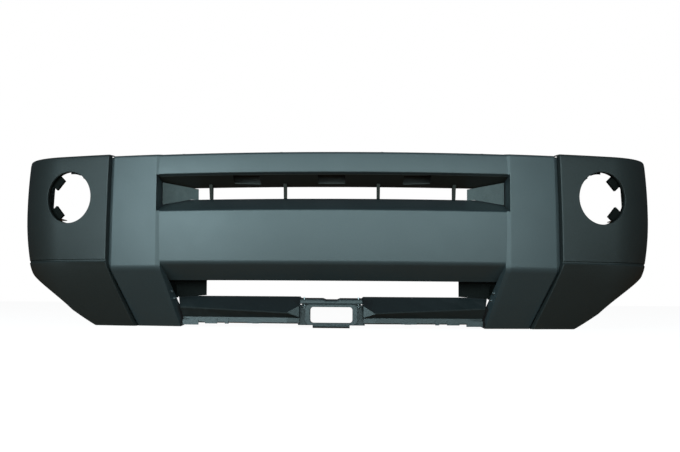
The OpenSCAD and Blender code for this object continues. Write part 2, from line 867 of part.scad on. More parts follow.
// A place on the inner side wall of a chin, moved outboard by out, d behind the face
function chin_side(out, d, z) =
    skin_point(
        pillar_in + out,
        [3 + (chin_depth - 3) * (bend_z - z) / bend_z + d, z],
        chin_lean(pillar_in + out)
    );
module on_cheek() {
    translate([cheek_out[0], cheek_out[1], 0])
        rotate([0, 0, atan2(cheek_run[1], cheek_run[0]) + 180])
            mirror([1, 0, 0])
                children();
}
module cheek_screw_places() {
    for (z = cheek_screw_heights)
        translate(chin_side(0, 30, z))
            rotate([0, 0, front_h(pillar_in)])
                rotate([0, chin_tilt - 90, 0])
                    children();
}
function cheek_tab_loop(out) =
    let (
        heights = [124, 110, 98, 94, 84, 73],
        rear_y = cheek_out[1] + 4
    )
    concat(
        [for (z = heights) chin_side(out, 18, z)],
        reversed([
            for (z = heights)
                let (p = chin_side(out, 56, z))
                z > 96 ? [p[0] - (rear_y - p[1]) * tan(front_h(pillar_in)), rear_y, z] : p
        ])
    );
module lower_cheek() {
    color("#15191a")
        difference() {
            union() {
                on_cheek()
                    union() {
                        rotate([90, 0, 0])
                            linear_extrude(cheek_t)
                                polygon([
                                    [cheek_reach, 84],
                                    cheek_edge(84),
                                    cheek_edge(valance_h - 3.5),
                                    [cheek_l, valance_h + 1.5],
                                    [cheek_l, cheek_top],
                                    [cheek_reach, cheek_top]
                                ]);
                        translate([cheek_l - cheek_t, 0, valance_h + 1.5])
                            cube([cheek_t, 14, cheek_top - valance_h - 1.5]);
                    }
                loft([cheek_tab_loop(wall + 0.4), cheek_tab_loop(wall + 0.4 + cheek_t)]);
            }
            cheek_screw_places()
                cylinder(h = 40, r = screw_r + 0.3, center = true);
        }
}
module lower_cheek_right() {
    placed()
        lower_cheek();
}
module lower_cheek_left() {
    mirror([1, 0, 0])
        lower_cheek_right();
}
// A screw along +Z whose head rests on z = 0, with a hexagon socket
module screw(head_r, head_h, shank_r, shank_l) {
    difference() {
        union() {
            cylinder(h = head_h, r = head_r);
            translate([0, 0, -shank_l])
                cylinder(h = shank_l + head_h / 2, r = shank_r);
        }
        translate([0, 0, head_h * 0.4])
            cylinder(h = head_h, r = head_r * 0.5, $fn = 6);
    }
}
module cheek_screw_pair() {
    color("#c9cdcf")
        cheek_screw_places()
            translate([0, 0, 0.2])
                screw(cheek_screw_r, 3, screw_r, 12);
}
module cheek_screws_right() {
    placed()
        cheek_screw_pair();
}
module cheek_screws_left() {
    mirror([1, 0, 0])
        cheek_screws_right();
}

/* Fog lamp bracket: a collar behind the aperture, a plate with three ears and two tabs */
fog_tab_angles = [43, -41];
fog_tab_w = 37;
fog_tab_in_r = 55;
fog_plate_low = fog_plate_z - fit_gap - fog_plate_t;
tube_l = collar_d - 3;
tube_t = 3;
ear_w = 16;
module fog_lamp_bracket() {
    color("#1b1f20")
        at_fog()
            difference() {
                union() {
                    translate([0, 0, fog_plate_low])
                        cylinder(h = fog_plate_t, r = fog_r + 13, $fn = 96);
                    translate([0, 0, fog_plate_low + fog_plate_t - 1])
                        cylinder(h = tube_l, r = fog_r + tube_t, $fn = 96);
                    for (a = fog_screw_angles)
                        rotate([0, 0, a])
                            translate([fog_r + 5, -ear_w / 2, fog_plate_low])
                                cube([fog_screw_r - fog_r + 4, ear_w, fog_plate_t]);
                    fog_tabs();
                }
                translate([0, 0, fog_plate_low])
                    cylinder(h = 80, r = fog_r, $fn = 96);
                fog_screw_places()
                    translate([0, 0, fog_plate_low - 1])
                        cylinder(h = 20, r = screw_r + 0.4);
            }
}
tab_h = 9;
// Two hollow tabs behind the plate on the outboard side, and two short lips at the top
fog_lips = [[86, 112, 5], [122, 141, 7]];
module fog_tabs() {
    for (p = fog_lips)
        translate([0, 0, fog_plate_low - 2.5])
            rotate([0, 0, p[0]])
                rotate_extrude(angle = p[1] - p[0], $fn = 96)
                    translate([fog_r - p[2], 0])
                        square([p[2] + 8, 3]);
    for (a = fog_tab_angles)
        rotate([0, 0, a])
            translate([fog_tab_in_r, -fog_tab_w / 2, fog_plate_low - tab_h])
                difference() {
                    cube([fog_r + 8 - fog_tab_in_r, fog_tab_w, tab_h + 1]);
                    translate([4, 4, -1])
                        cube([14, fog_tab_w - 8, tab_h - 2]);
                }
}
module fog_lamp_bracket_right() {
    placed()
        fog_lamp_bracket();
}
module fog_lamp_bracket_left() {
    mirror([1, 0, 0])
        fog_lamp_bracket_right();
}
module fog_screws() {
    color("#a9aeb0")
        at_fog()
            fog_screw_places()
                translate([0, 0, fog_plate_z - fog_plate_t - 2 * fit_gap])
                    mirror([0, 0, 1])
                        screw(5, 3, screw_r, collar_d - 3);
}
module fog_bracket_screws_right() {
    placed()
        fog_screws();
}
module fog_bracket_screws_left() {
    mirror([1, 0, 0])
        fog_bracket_screws_right();
}

/* Side brackets: angle pieces on the wing bosses, with two holes for the body of the vehicle */
bracket_t = 2.5;
bracket_face_x = half_w - side_gap - fit_gap;
bracket_leg = 44;
bracket_y = wing_depth - 46 - bracket_pitch / 2;
module side_bracket() {
    l = bracket_pitch + 34;
    color("#8d9396")
        difference() {
            union() {
                translate([bracket_face_x - bracket_t, bracket_y - l / 2, side_z - 14])
                    cube([bracket_t, l, 48]);
                translate([bracket_face_x - bracket_leg, bracket_y - l / 2, side_z + 34 - bracket_t])
                    cube([bracket_leg, l, bracket_t]);
                for (y = [-1, 0, 1])
                    translate([bracket_face_x - bracket_t, bracket_y + y * (l / 2 - 2) + 1, side_z + 34 - bracket_t])
                        rotate([90, 0, 0])
                            linear_extrude(2)
                                polygon([[0.5, 0.5], [-18, 0.5], [0.5, -22]]);
            }
            side_boss_places()
                rotate([0, 90, 0])
                    cylinder(h = 120, r = screw_r + 0.4, center = true);
            for (i = [-0.5, 0.5])
                translate([bracket_face_x - bracket_leg + 15, bracket_y + i * bracket_pitch, side_z])
                    cylinder(h = 60, d = bracket_hole_d);
        }
}
module side_bracket_right() {
    placed()
        side_bracket();
}
module side_bracket_left() {
    mirror([1, 0, 0])
        side_bracket_right();
}
module side_screws() {
    color("#a9aeb0")
        side_boss_places()
            translate([-side_gap + 1.5 - 2 * fit_gap - bracket_t, 0, 0])
                rotate([0, -90, 0])
                    screw(5.5, 3.5, screw_r, 16);
}
module side_bracket_screws_right() {
    placed()
        side_screws();
}
module side_bracket_screws_left() {
    mirror([1, 0, 0])
        side_bracket_screws_right();
}

/* Screws through the ledge of the skin into the bosses of the cap */
module cap_screw_set() {
    color("#a9aeb0")
        for (z = cap_screw_heights)
            on_face(cap_screw_x, z)
                translate([0, ledge_at(z) + wall + 1.2, 0])
                    rotate([-90, 0, 0])
                        screw(5.5, 3.5, screw_r, 14);
}
module cap_screws_right() {
    placed()
        cap_screw_set();
}
module cap_screws_left() {
    mirror([1, 0, 0])
        cap_screws_right();
}

/* Upper mounting strip: a steel angle under the top flange */
strip_t = 2;
strip_half = pillar_out - 30;
module upper_mounting_strip() {
    top = skin_top_z - wall - fit_gap - 0.2;
    rear = flange_d - 1;
    color("#8d9396")
        placed()
            difference() {
                swept(
                    [
                        [inner_edge_d + 3, top],
                        [rear, top],
                        [rear, top - 22],
                        [rear - strip_t, top - 22],
                        [rear - strip_t, top - strip_t],
                        [inner_edge_d + 3, top - strip_t]
                    ],
                    strip_half
                );
                both_sides()
                    translate([pillar_in - 12, front_y(pillar_in) - 10, skin_top_z - 30])
                        cube([16, 48, 40]);
                rivet_positions()
                    cylinder(h = 40, d = rivet_hole_d, center = true);
            }
}

/* Push rivets: a slotted sleeve in the flange, and a pin that slides up out of it */
pin_r = 2.3;
pin_head_r = 5;
sleeve_r = rivet_hole_d / 2 - fit_gap;
sleeve_low = skin_top_z - 15;
module push_rivet_sleeves() {
    color("#202425")
        placed()
            rivet_positions()
                difference() {
                    union() {
                        translate([0, 0, 0.1])
                            cylinder(h = 1.8, r = 8);
                        translate([0, 0, -15])
                            cylinder(h = 16, r = sleeve_r);
                    }
                    translate([0, 0, -20])
                        cylinder(h = 40, r = pin_r + fit_gap);
                    translate([-0.6, -8, -16])
                        cube([1.2, 16, 9]);
                }
}
module push_rivet_pin(i) {
    x = (i - 2.5) * rivet_pitch;
    color("#202425")
        placed()
            translate([x, front_y(x) + rivet_d, skin_top_z])
                union() {
                    translate([0, 0, 2.1])
                        cylinder(h = 1.6, r = pin_head_r);
                    translate([0, 0, -13])
                        cylinder(h = 16, r = pin_r);
                }
}

/* Screws of the valance, up through the ears of the towing eye surround */
module valance_screws() {
    color("#a9aeb0")
        placed()
            ear_places()
                translate([0, 0, ear_low - ear_top - 0.2])
                    mirror([0, 0, 1])
                        screw(4, 2.5, screw_r, shelf_z - ear_low + 13);
}

/* Spring nuts on the undertray holes of the valance */
module undertray_clips() {
    color("#9aa0a3")
        placed()
            both_sides()
                translate([tray_x, tray_y, 0])
                    difference() {
                        union() {
                            translate([-9, -6, 12 + wall + 0.2])
                                cube([18, 22, 1.2]);
                            translate([-9, -6, 12 - 1.4])
                                cube([18, 22, 1.2]);
                            translate([-9, 14.8, 12 - 1.4])
                                cube([18, 1.2, wall + 2.8]);
                            translate([0, 0, 12 + wall + 1])
                                cylinder(h = 4, r = 6);
                        }
                        cylinder(h = 60, d = tray_hole_d - 2, center = true);
                    }
}

centre_skin();
corner_cap_left();
corner_cap_right();
upper_slot_insert();
air_baffle_left();
air_baffle_right();
lower_valance();
tow_eye_surround();
lower_cheek_left();
lower_cheek_right();
cheek_screws_left();
cheek_screws_right();
fog_lamp_bracket_left();
fog_lamp_bracket_right();
fog_bracket_screws_left();
fog_bracket_screws_right();
side_bracket_left();
side_bracket_right();
side_bracket_screws_left();
side_bracket_screws_right();
cap_screws_left();
cap_screws_right();
upper_mounting_strip();
push_rivet_sleeves();
push_rivet_pin(1);  // push_rivet_pin_1
push_rivet_pin(2);  // push_rivet_pin_2
push_rivet_pin(3);  // push_rivet_pin_3
push_rivet_pin(4);  // push_rivet_pin_4
insert_clips();
valance_screws();
undertray_clips();
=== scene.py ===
import json
import math

import bpy
from mathutils import Matrix, Vector


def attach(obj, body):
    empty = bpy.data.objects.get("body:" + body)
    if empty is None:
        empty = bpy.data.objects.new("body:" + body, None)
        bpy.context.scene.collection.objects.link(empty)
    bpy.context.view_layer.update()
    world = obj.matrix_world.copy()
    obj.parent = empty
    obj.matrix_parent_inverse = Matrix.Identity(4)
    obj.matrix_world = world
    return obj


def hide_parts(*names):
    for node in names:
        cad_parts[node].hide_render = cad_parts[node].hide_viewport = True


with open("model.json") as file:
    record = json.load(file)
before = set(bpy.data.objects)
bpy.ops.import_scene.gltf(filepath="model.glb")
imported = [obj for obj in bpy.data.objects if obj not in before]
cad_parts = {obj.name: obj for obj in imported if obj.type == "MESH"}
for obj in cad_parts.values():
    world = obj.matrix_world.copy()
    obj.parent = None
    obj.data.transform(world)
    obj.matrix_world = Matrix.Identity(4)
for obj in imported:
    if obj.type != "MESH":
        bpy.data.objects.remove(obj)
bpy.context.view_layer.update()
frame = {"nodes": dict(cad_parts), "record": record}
MM = 0.001
ROOT = "cover"

# Sizes in millimetres: x from the middle, depth behind the foremost point, height above the lowest edge
HALF_W = 942.0
DEPTH = 530.0
MID = DEPTH / 2
FRONT_R = 2130.0
WALL = 3.0
BAND_UNDER = 133.0
BAND_LOW = 180.0
SLOT_LOW = 328.0
SLOT_TOP = 431.0
TOP = 488.0
CAP_TOP = 494.0
BEND = 166.0
CAP_IN = 641.0
PILLAR_OUT = 626.0
PILLAR_IN = 483.0
SLOT_HALF = 495.0
FLANGE = 46.0
PROUD = 4.0
CHIN_DEPTH = 130.0
LEAN_IN = 43.0
LEAN_OUT = 59.0
LEDGE_D = 16.0
LEDGE_END = 665.0
LEDGE_TOP = 487.0
INNER_EDGE = 26.0
INNER_EDGE_LOW = 60.0
PILLAR_SLANT = 5.0
CAP_LEAN = 30.0
CAP_SLANT = 6.0
SLOT_DEPTH = 100.0
FLOOR_RISE = 39.0
CREASE = 187.0
FOG = (133.0, 373.0)  # station along the cap, height
FOG_R = 75.0
RIVET_X = (-420, -140, 140, 420)
RIVET_SETBACK = 9.5  # hole centre in front of the flange's rear edge
RIVET_HOLE_R = 4.0
TOP_SET = 3.0  # setback of the faces at their top
BEND_SET = 2.0  # setback of a pillar at the bend above its chin
BAND_UNDER_D = 75.0
BAND_REAR_D = 95.0
CHIN_FLANGE = 26.0
BAR_END = SLOT_HALF + 1.5
SHARP_ANGLE = math.radians(34)
WELD_DISTANCE = 0.02
REACH = 100.0  # cutting tools reach this far past the faces that they cut
THROUGH = 20.0


# ---------------------------------------------------------------- shapes in the plane
def front_y(x):
    """Depth of the front arc at x."""
    return FRONT_R - math.sqrt(FRONT_R * FRONT_R - x * x)


def front_h(x):
    """Heading of the front arc at x."""
    return math.asin(x / FRONT_R)


def rounded(a, b, c, r, n=8):
    """Corner b of the path a, b, c as a round that starts r before the corner."""
    a, b, c = Vector(a), Vector(b), Vector(c)
    s = b + (a - b).normalized() * r
    e = b + (c - b).normalized() * r
    out = []
    for i in range(n + 1):
        t = i / n
        out.append(tuple(s * (1 - t) ** 2 + b * 2 * t * (1 - t) + e * t * t))
    return out


def offset_path(path, t):
    """The path moved by t to the left of its direction, with mitred corners."""
    out = []
    last = len(path) - 1
    for i, p in enumerate(path):
        def normal(j):
            a, b = Vector(path[j]), Vector(path[j + 1])
            d = (b - a).normalized()
            return Vector((-d.y, d.x))
        n1 = normal(max(i - 1, 0))
        n2 = normal(min(i, last - 1))
        m = (n1 + n2) / (1 + n1.dot(n2))
        out.append((p[0] + m.x * t, p[1] + m.y * t))
    return out


def spaced(start, end, n):
    return [start + (end - start) * i / n for i in range(n + 1)]


def smooth(t):
    """An even ramp from 0 to 1 that starts and ends level."""
    c = max(0.0, min(1.0, t))
    return c * c * (3 - 2 * c)


# ---------------------------------------------------------------- mesh helpers
def make_mesh(name, verts, faces):
    """A smooth-shaded object from points in millimetres, with sharp edges where faces turn more."""
    mesh = bpy.data.meshes.new(name)
    mesh.from_pydata([(x * MM, (y - MID) * MM, z * MM) for x, y, z in verts], [], faces)
    mesh.validate()
    obj = bpy.data.objects.new(name, mesh)
    bpy.context.scene.collection.objects.link(obj)
    shade(obj)
    return obj


def shade(obj):
    """Smooth faces, with sharp edges where they turn more than the sharp angle."""
    mesh = obj.data
    mesh.polygons.foreach_set("use_smooth", [True] * len(mesh.polygons))
    mesh.set_sharp_from_angle(angle=SHARP_ANGLE)
    mesh.update()


def remove(obj):
    mesh = obj.data
    bpy.data.objects.remove(obj)
    bpy.data.meshes.remove(mesh)


def taken(obj):
    """The object's points in millimetres and its faces; the object itself goes."""
    verts = [(v.co.x / MM, v.co.y / MM + MID, v.co.z / MM) for v in obj.data.vertices]
    faces = [tuple(p.vertices) for p in obj.data.polygons]
    remove(obj)
    return verts, faces


def loft(loops):
    """Points and faces of a closed solid through loops of equal length."""
    n = len(loops[0])
    verts = [p for loop in loops for p in loop]
    faces = []
    for j in range(len(loops) - 1):
        for i in range(n):
            a, b = j * n + i, j * n + (i + 1) % n
            faces.append((a, a + n, b + n, b))
    shift = (len(loops) - 1) * n
    for i in range(n // 2 - 1):
        a, b, c, d = i, i + 1, n - 2 - i, n - 1 - i
        faces.append((a, b, c, d))
        faces.append((a + shift, d + shift, c + shift, b + shift))
    return verts, faces


def mirrored(verts, faces):
    """The same solid on the other side of the middle plane."""
    return [(-x, y, z) for x, y, z in verts], [tuple(reversed(f)) for f in faces]


def joined(*solids):
    verts, faces = [], []
    for v, f in solids:
        base = len(verts)
        verts += v
        faces += [tuple(i + base for i in face) for face in f]
    return verts, faces


def baked(obj):
    """The object with its modifiers applied to its mesh."""
    graph = bpy.context.evaluated_depsgraph_get()
    mesh = bpy.data.meshes.new_from_object(obj.evaluated_get(graph))
    old = obj.data
    obj.modifiers.clear()
    obj.data = mesh
    mesh.name = obj.name
    bpy.data.meshes.remove(old)
    return obj


def cut(obj, *tools):
    """The object with the tools' shapes taken out of it; the tools go."""
    for tool in tools:
        m = obj.modifiers.new("cut", "BOOLEAN")
        m.operation = "DIFFERENCE"
        m.solver = "EXACT"
        m.object = tool
    bpy.context.view_layer.update()
    baked(obj)
    for tool in tools:
        remove(tool)
    shade(obj)
    return obj


def box_solid(x0, y0, z0, x1, y1, z1):
    v = [(x, y, z) for x in (x0, x1) for y in (y0, y1) for z in (z0, z1)]
    f = [(0, 1, 3, 2), (4, 6, 7, 5), (0, 4, 5, 1), (2, 3, 7, 6), (0, 2, 6, 4), (1, 5, 7, 3)]
    return v, f


def disc_solid(place, r, low, high, n=96):
    """A cylinder; place turns (u, v, w) of its own frame into x, depth, height."""
    turns = [2 * math.pi * i / n for i in range(n)]
    v = [place(r * math.cos(a), r * math.sin(a), w) for w in (low, high) for a in turns]
    f = [tuple(reversed(range(n))), tuple(range(n, 2 * n))]
    f += [(i, (i + 1) % n, n + (i + 1) % n, n + i) for i in range(n)]
    return v, f


# ---------------------------------------------------------------- centre skin
def skin_point(x, q, lean=0.0):
    """Point q (setback, height) of the section at x; below the bend it leans inwards."""
    h = front_h(x)
    return (
        x - q[0] * math.sin(h) - lean * max(0.0, BEND - q[1]) / BEND,
        front_y(x) + q[0] * math.cos(h),
        q[1],
    )


def skin_bar(path, steps=72):
    """A wall of this section from one end of the slot to the other."""
    section = path + list(reversed(offset_path(path, WALL)))
    stations = [BAR_END * (2 * i / steps - 1) for i in range(steps + 1)]
    return loft([[skin_point(x, q) for q in section] for x in stations])


def bar_path():
    """Upper bar: top flange, face, and a lip that turns up inside the slot."""
    rear, top, low, lip = (FLANGE, TOP), (TOP_SET, TOP), (0, SLOT_TOP), (16, SLOT_TOP - 4)
    upstand = 14
    return (
        [rear, (30, TOP)]
        + rounded(rear, top, low, 7)
        + rounded(top, low, lip, 3, 6)
        + [lip, (lip[0], lip[1] + upstand)]
    )


def band_path():
    """Centre band: slot floor, face, under-chamfer and the flange behind it."""
    floor_flange = (SLOT_DEPTH + 14, SLOT_LOW + FLOOR_RISE)
    rear = (SLOT_DEPTH, SLOT_LOW + FLOOR_RISE)
    top, low, under = (0, SLOT_LOW), (TOP_SET, BAND_LOW), (BAND_UNDER_D, BAND_UNDER)
    middle = (1.0, (SLOT_LOW + BAND_LOW) / 2)
    end = (BAND_REAR_D, BAND_UNDER + 6)
    return (
        [floor_flange, rear]
        + rounded(rear, top, low, 3.5, 7)
        + [middle]
        + rounded(top, low, under, 9, 9)
        + rounded(low, under, end, 3, 4)
        + [end]
    )


def chin_lean(x):
    """How far the foot of a pillar leans inwards at x."""
    k = (x - PILLAR_IN) / (PILLAR_OUT - PILLAR_IN)
    return LEAN_IN + (LEAN_OUT - LEAN_IN) * k - CHIN_DEPTH * math.sin(front_h(x))


BELLY = 0.55 * TOP + 0.45 * BEND


def ledge_at(z):
    """Depth of the front of the ledge beside a pillar at a height."""
    if z < BEND:
        depth = CHIN_DEPTH + (BEND_SET - PROUD - CHIN_DEPTH) * max(z, 0.0) / BEND
    elif z < BELLY:
        depth = BEND_SET - PROUD - BEND_SET * (z - BEND) / (BELLY - BEND)
    else:
        depth = -PROUD + TOP_SET * min(1.0, (z - BELLY) / (TOP - BELLY))
    return LEDGE_D + depth


def pillar_path(proud):
    """Front of a pillar and its chin, from the top flange to the flange at the foot."""
    top, belly = (TOP_SET - proud, TOP + 0.6), (-proud, BELLY)
    bend, foot = (BEND_SET - proud, BEND), (CHIN_DEPTH, 0)
    rear, end = (FLANGE, top[1]), (CHIN_DEPTH + CHIN_FLANGE, 5)
    fullness = 0.3
    return (
        [rear]
        + rounded(rear, top, belly, 7)
        + [belly, ((belly[0] + bend[0]) / 2 - fullness, (belly[1] + bend[1]) / 2)]
        + rounded(belly, bend, foot, 11, 10)
        + rounded(bend, foot, end, 2.5, 3)
        + [end]
    )


def pillar_loop(x, proud, a, b, low=0.0):
    """One section of a pillar: front of the wall at depth a, back set back by b, or low in the chin."""
    path = pillar_path(proud)
    top = LEDGE_TOP if a > LEDGE_D - 1 else TOP + 1
    lean = chin_lean(x)
    k = (x - PILLAR_IN) / (PILLAR_OUT - PILLAR_IN)

    def place(q, d, high):
        deep = q[0] + d
        if q[1] > TOP - 8:
            deep = min(deep, FLANGE)
        slant = PILLAR_SLANT * k * min(1.0, max(0.0, TOP - q[1]) / (TOP - BEND))
        p = skin_point(x, (deep, min(q[1], high)), lean)
        return (p[0] + slant, p[1] + slant * math.tan(front_h(x)), p[2])

    outer = [place(q, a, top) for q in path]
    inner = []
    for q in offset_path(path, WALL):
        in_chin = low and q[1] < BEND - 12
        z = max(q[1], 9.0) if in_chin else q[1]
        inner.append(place((q[0], z), a + (low if in_chin else b), top - WALL))
    return outer + list(reversed(inner))


def pillar():
    """A pillar from its bevelled inner edge to the ledge that the corner cap's rim sits in."""
    bevel_in = -1.0
    bevel_end = PILLAR_IN + 12
    flat_from = bevel_end + 2.5
    inner_round, outer_round = 1.2, 2.4
    loops = []
    for i in range(5):
        t = math.pi / 2 * i / 4
        x = PILLAR_IN + inner_round * (1 - math.cos(t))
        proud = bevel_in - inner_round * (1 - math.sin(t))
        loops.append(pillar_loop(x, proud, 0, INNER_EDGE, INNER_EDGE_LOW))
    loops += [
        pillar_loop(PILLAR_IN + WALL, bevel_in + 0.9, 0, INNER_EDGE, INNER_EDGE_LOW),
        pillar_loop(PILLAR_IN + WALL + 0.2, bevel_in + 1.0, 0, 0),
        pillar_loop(bevel_end - 1.6, PROUD - 0.75, 0, 0),
        pillar_loop(bevel_end - 0.5, PROUD - 0.28, 0, 0),
        pillar_loop(bevel_end + 0.8, PROUD - 0.04, 0, 0),
        pillar_loop(flat_from, PROUD, 0, 0),
    ]
    span = PILLAR_OUT - 5 - flat_from
    loops += [pillar_loop(flat_from + span * i / 8, PROUD, 0, 0) for i in range(1, 9)]
    for i in range(7):
        t = math.pi / 2 * i / 6
        a = outer_round * (1 - math.cos(t))
        x = PILLAR_OUT - outer_round + outer_round * math.sin(t)
        loops.append(pillar_loop(x, PROUD, a, LEDGE_D - a))
    loops += [
        pillar_loop(PILLAR_OUT + 0.2, PROUD, LEDGE_D, 0),
        pillar_loop(LEDGE_END, PROUD, LEDGE_D, 0),
    ]
    return loft(loops)


def slot_wall():
    """End wall of the slot on the right, turned so that the slot narrows rearwards."""
    turn = math.radians(6)
    front = front_y(SLOT_HALF) - 2.5
    v, f = box_solid(0, 0, SLOT_LOW - 6, WALL, SLOT_DEPTH + 10, SLOT_TOP + 8)
    c, s = math.cos(turn), math.sin(turn)
    return [(SLOT_HALF + x * c - y * s, front + x * s + y * c, z) for x, y, z in v], f


def centre_skin():
    side = make_mesh("side", *pillar())
    slot_tool = make_mesh("slot_tool", *box_solid(0, -REACH, SLOT_LOW, SLOT_HALF, 2 * REACH, SLOT_TOP))
    side = taken(cut(side, slot_tool))
    bar = make_mesh("bar", *skin_bar(bar_path()))
    holes = []
    for x in RIVET_X:
        y = front_y(x) + FLANGE - RIVET_SETBACK
        place = lambda u, v, w, x=x, y=y: (x + u, y + v, w)
        holes.append(make_mesh("hole", *disc_solid(place, RIVET_HOLE_R, TOP - THROUGH, TOP + THROUGH, 24)))
    bar = taken(cut(bar, *holes))
    wall = slot_wall()
    solid = joined(bar, skin_bar(band_path()), side, mirrored(*side), wall, mirrored(*wall))
    obj = make_mesh("centre_skin_shell", *solid)
    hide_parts("centre_skin")
    return obj


# ---------------------------------------------------------------- corner caps
def arc_end(start, k, length):
    """End of an arc with k radians of turn per millimetre, from (x, y, heading)."""
    h = start[2] + k * length
    r = 1 / k
    return (
        start[0] + r * (math.sin(h) - math.sin(start[2])),
        start[1] - r * (math.cos(h) - math.cos(start[2])),
        h,
    )


# The cap's face in plan: a nearly flat stretch, a round corner and a straight wing
CAP_FLAT = 170.0
CAP_PROUD = 4.0
FLAT_K = math.radians(2) / CAP_FLAT
CAP_START = (CAP_IN, front_y(CAP_IN) - PROUD - CAP_PROUD, front_h(CAP_IN))
FLAT_END = arc_end(CAP_START, FLAT_K, CAP_FLAT)
CORNER_R = (HALF_W - FLAT_END[0]) / (1 - math.sin(FLAT_END[2]))
CORNER_L = (math.pi / 2 - FLAT_END[2]) * CORNER_R
CORNER_END = arc_end(FLAT_END, 1 / CORNER_R, CORNER_L)
WING_L = DEPTH - CORNER_END[1]
CAP_L = CAP_FLAT + CORNER_L + WING_L
WIDEST = 324.0
EDGE_STRIP = 3.0
CROWN = 9.0
TUCK = 124.0
STEP = 3.0
RIM_D = 20.0
CAP_FLANGE = 34.0
LEAN_REACH = 150.0


def plan(u):
    """Place and heading of the cap's face at a station u along it."""
    if u < CAP_FLAT:
        return arc_end(CAP_START, FLAT_K, u)
    if u < CAP_FLAT + CORNER_L:
        return arc_end(FLAT_END, 1 / CORNER_R, u - CAP_FLAT)
    return (CORNER_END[0], CORNER_END[1] + u - CAP_FLAT - CORNER_L, math.pi / 2)


def cap_edge(u):
    """Height of the cap's lower edge, which rises towards the wheel arch."""
    return min(CREASE - 24, max(0.0, (plan(u)[0] - 750) * 0.86))


def crown_at(u, z):
    """Setback of the face above the crease, least at its widest height."""
    k = smooth(u / (CAP_FLAT + 0.7 * CORNER_L))
    if z > WIDEST:
        return (3 + (CROWN - 3) * k) * ((z - WIDEST) / (CAP_TOP - WIDEST)) ** 2
    return (2 + (1.35 * CROWN - 2) * k) * ((WIDEST - max(z, CREASE)) / (WIDEST - CREASE)) ** 2


def step_at(u):
    """The crease step fades out round the corner."""
    return STEP * (1 - smooth((u - CAP_FLAT - 0.5 * CORNER_L) / (0.4 * CORNER_L)))


def tuck_at(u, z):
    """Setback of the tucked-in face below the crease."""
    power = 1.15 + 0.3 * smooth(u / (CAP_FLAT + 0.5 * CORNER_L))
    return crown_at(u, CREASE) - step_at(u) + TUCK * ((CREASE - z) / CREASE) ** power


def rim_limit(q, u):
    """A point of the inner edge strip is kept in front of the ledge of the skin."""
    if u > EDGE_STRIP:
        return q
    clear = 5 if q[1] < BEND else 0.6
    return (min(q[0], ledge_at(q[1]) + PROUD + CAP_PROUD - clear), q[1])


# The crease is a groove above a rounded step: heights from the crease, and setbacks of face and back
GROOVE_Z = (5.0, 4.0, 0.6, -0.2, -1.0, -2.8)
GROOVE_FACE = (0.6, 4.2, 4.2, -0.4, -1.8, -2.6)
GROOVE_BACK = (2.5, 3.0, 3.0, 2.5, 1.5, 0.0)


def cap_section(u, t):
    """Setback and height down the cap at a station, with the face moved in by t."""
    top = CAP_TOP - min(t, CAP_TOP - LEDGE_TOP - 3)
    c = crown_at(u, CAP_TOP)
    k = step_at(u) / STEP
    low_t = t if t > WALL else 1.25 * t
    inside = (c + 16 + t, top)
    out = [(c + max(CAP_FLANGE, 8 + t), top), inside]
    out += rounded(inside, (c + t, top), (c + t - 0.2, top - 20), 9, 8)
    out += [(crown_at(u, z) + t, z) for z in spaced(top - 12, CREASE + 5.8, 22)]
    base = crown_at(u, CREASE) + t
    groove = GROOVE_FACE if t == 0 else GROOVE_BACK
    out += [(base + d * k, CREASE + dz) for d, dz in zip(groove, GROOVE_Z)]
    out += [(tuck_at(u, z) + low_t, z) for z in spaced(CREASE - 5, cap_edge(u), 18)]
    if t > WALL:
        out = [rim_limit(q, u) if i > 1 else q for i, q in enumerate(out)]
    return out


def cap_point(u, q):
    """Point q (setback, height) of the section at station u, with the inner edge's lean."""
    low = max(0.0, CREASE - q[1]) / CREASE
    down = min(1.0, (CAP_TOP - q[1]) / (CAP_TOP - CREASE))
    lean = (CAP_LEAN * low - CAP_SLANT * down) * (1 - smooth(u / LEAN_REACH))
    p = plan(u)
    return (
        p[0] - q[0] * math.sin(p[2]) - lean,
        p[1] + q[0] * math.cos(p[2]) - lean * math.tan(CAP_START[2]),
        q[1],
    )


def cap_loop(u, a, b):
    """One section of a cap at station u: front moved in by a, back moved in by b."""
    outer = [cap_point(u, q) for q in cap_section(u, a)]
    inner = [cap_point(u, q) for q in cap_section(u, b)]
    return outer + list(reversed(inner))


def cap_shell(n=88, round_r=3.0, gap=0.2):
    """A cap with a rounded rim at both ends."""
    turns = [math.pi / 2 * i / 6 for i in range(7)]
    first, length = round_r + gap, CAP_L - 2 * (round_r + gap)
    loops = [cap_loop(round_r * (1 - math.cos(t)), round_r * (1 - math.sin(t)), RIM_D) for t in turns]
    loops += [cap_loop(first + length * i / n, 0, WALL) for i in range(n + 1)]
    loops += [
        cap_loop(CAP_L - round_r * (1 - math.sin(t)), round_r * (1 - math.cos(t)), RIM_D) for t in turns
    ]
    return loft(loops)


FOG_PLAN = plan(FOG[0])
FOG_SET = crown_at(*FOG)


def fog_place(u, v, w):
    """A point in the frame of the lamp opening: u outboard, v up, w out of the face."""
    h = FOG_PLAN[2]
    return (
        FOG_PLAN[0] + u * math.cos(h) + w * math.sin(h),
        FOG_PLAN[1] + FOG_SET + u * math.sin(h) - w * math.cos(h),
        FOG[1] + v,
    )


def face_depth(u, v):
    """How far the cap's face lies behind the lamp plane at (u, v)."""
    p = cap_point(FOG[0] + u, (crown_at(FOG[0] + u, FOG[1] + v), FOG[1] + v))
    h = FOG_PLAN[2]
    return -(p[0] - FOG_PLAN[0]) * math.sin(h) + (p[1] - FOG_PLAN[1] - FOG_SET) * math.cos(h)


